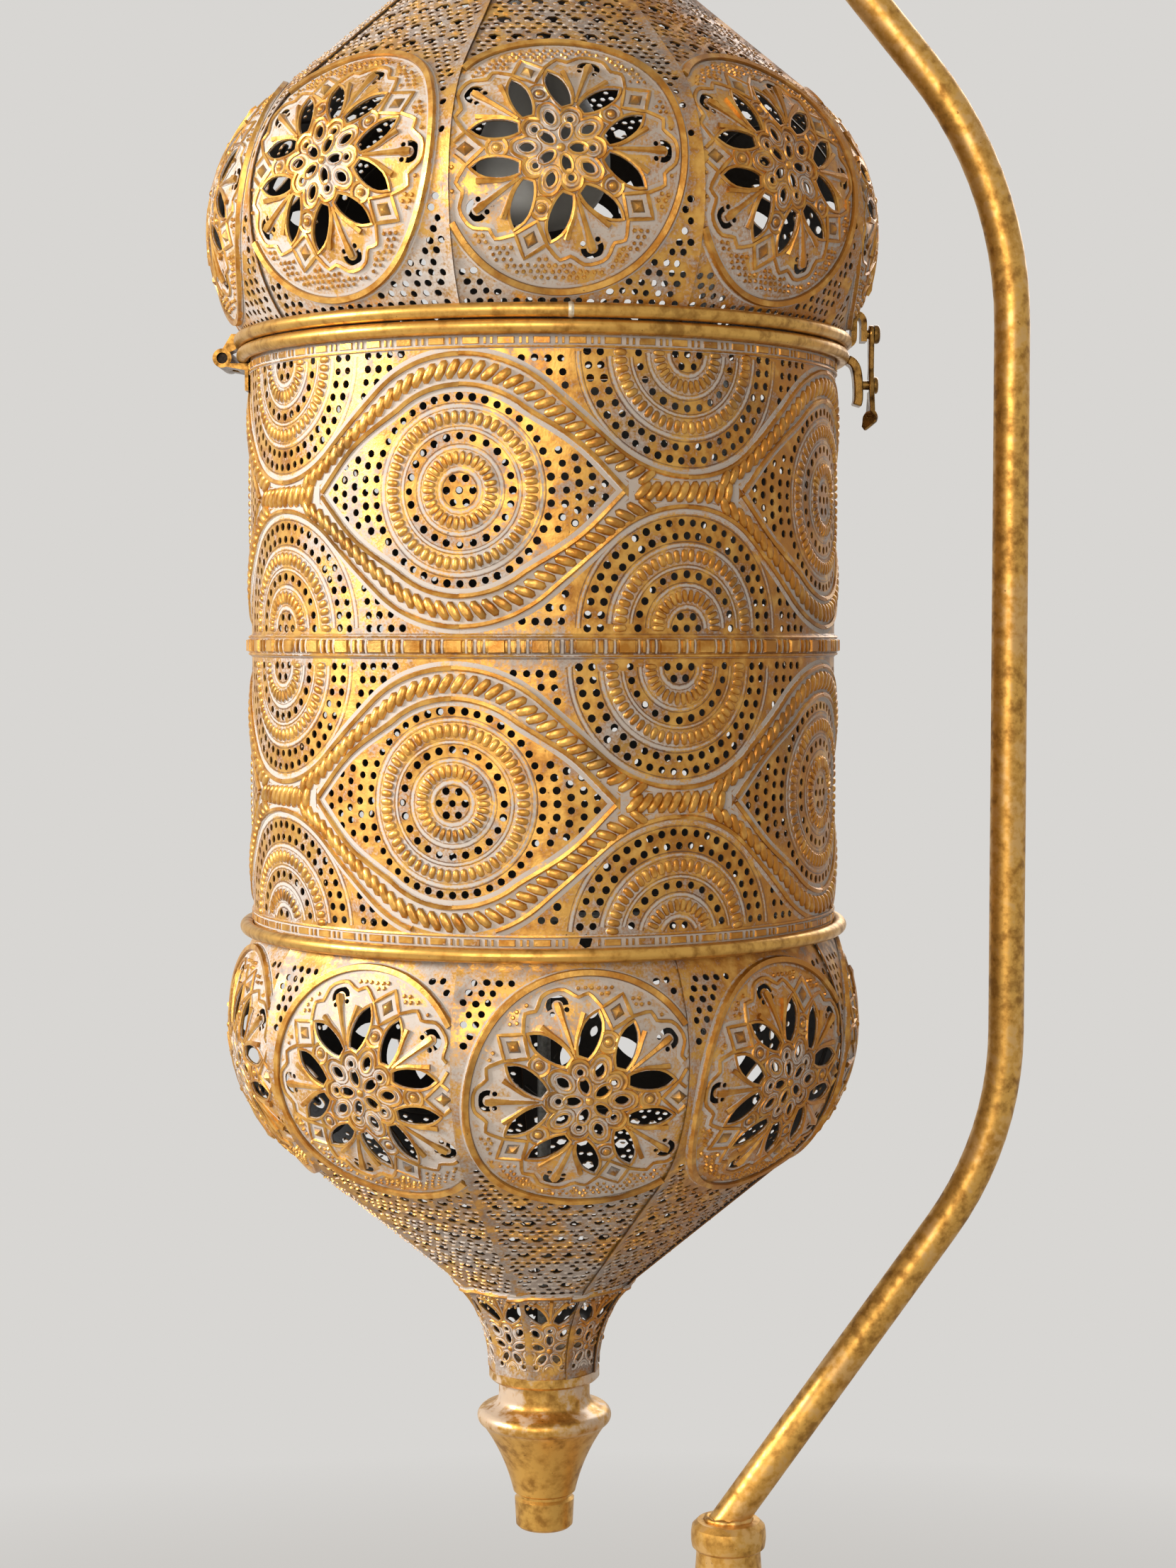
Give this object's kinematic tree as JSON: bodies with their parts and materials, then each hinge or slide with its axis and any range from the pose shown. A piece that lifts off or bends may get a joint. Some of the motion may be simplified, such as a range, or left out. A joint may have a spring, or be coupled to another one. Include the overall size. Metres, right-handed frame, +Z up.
{
  "type": "floor lantern",
  "caption": "Pierced brass floor lantern: a hinged drum with onion dome and bowl, hung from the crook of a bowed tube on a round weighted foot.",
  "frame": {"origin": "centre of the foot's underside, on the post's axis, at floor level", "axes": "+Z up along the post; +X towards the side that the tube bows out to, so the lantern hangs towards -X; -Y is the front that the picture shows"},
  "size_m": [0.3828, 0.302, 1.6574],
  "materials": {
    "pierced_sheet": "embossed and pierced sheet, antique gilt with a chalky wash in the recesses",
    "rim_gilt": "worn antique gilt",
    "stand_gilt": "worn antique gilt paint over tube and turned pieces",
    "bare_brass": "dull bare brass",
    "steel": "dull zinc plate",
    "iron": "as cast",
    "felt": "wool felt",
    "bush_rubber": "matt",
    "bakelite": "satin",
    "bulb_metal": "satin",
    "bulb_glass": "frosted"
  },
  "bodies": {
    "stand": {"felt_pad": "felt", "base_weight": "iron", "base_cover": "stand_gilt", "base_washer": "steel", "base_nut": "steel", "cable_bush": "bush_rubber", "post_rod": "steel", "post_knop": "stand_gilt", "post_tube": "stand_gilt", "post_head": "stand_gilt", "post_collar": "stand_gilt", "bow_tube": "stand_gilt", "hook_ferrule": "stand_gilt", "hanger_hook": "bare_brass"},
    "hanger_link": {"hanger_link": "bare_brass"},
    "dome": {"dome_panel_1": "pierced_sheet", "dome_panel_2": "pierced_sheet", "dome_panel_3": "pierced_sheet", "dome_panel_4": "pierced_sheet", "dome_panel_5": "pierced_sheet", "dome_panel_6": "pierced_sheet", "dome_panel_7": "pierced_sheet", "dome_panel_8": "pierced_sheet", "dome_panel_9": "pierced_sheet", "dome_rim_wire": "rim_gilt", "neck_cap": "stand_gilt", "cap_eye": "bare_brass", "stem_nut": "steel", "holder_cap": "bakelite", "lamp_holder": "bakelite", "bulb_cap": "bulb_metal", "bulb_glass": "bulb_glass", "hinge_upper": "bare_brass", "latch_bracket": "bare_brass", "latch_screw": "steel"},
    "drum": {"upper_drum_sheet": "pierced_sheet", "lower_drum_sheet": "pierced_sheet", "mid_rib": "rim_gilt", "drum_rim_wire": "rim_gilt", "bottom_rim_wire": "rim_gilt", "bowl_panel_1": "pierced_sheet", "bowl_panel_2": "pierced_sheet", "bowl_panel_3": "pierced_sheet", "bowl_panel_4": "pierced_sheet", "bowl_panel_5": "pierced_sheet", "bowl_panel_6": "pierced_sheet", "bowl_panel_7": "pierced_sheet", "bowl_panel_8": "pierced_sheet", "bowl_panel_9": "pierced_sheet", "crossbar": "steel", "tie_rod": "steel", "tie_rod_nut": "steel", "tie_rod_jam_nut": "steel", "finial": "stand_gilt", "hinge_lower": "bare_brass", "hinge_pin": "steel", "latch_keeper": "bare_brass", "keeper_stud": "steel"},
    "latch_hook": {"latch_hook": "bare_brass"}
  },
  "joints": [
    {"name": "link_swing", "type": "hinge", "parent": "stand", "child": "hanger_link", "pos_m": [-0.0845, 0, 1.5691], "axis": [1, 0, 0], "range_deg": [-20, 20]},
    {"name": "lantern_swing", "type": "hinge", "parent": "hanger_link", "child": "dome", "pos_m": [-0.0845, 0, 1.5494], "axis": [0, 1, 0], "range_deg": [-4, 20]},
    {"name": "drum_hinge", "type": "hinge", "parent": "dome", "child": "drum", "pos_m": [-0.2265, 0, 1.296], "axis": [0, 1, 0], "range_deg": [0, 95]},
    {"name": "latch_swing", "type": "hinge", "parent": "dome", "child": "latch_hook", "pos_m": [0.0623, 0, 1.308], "axis": [-1, 0, 0], "range_deg": [0, 95]}
  ]
}
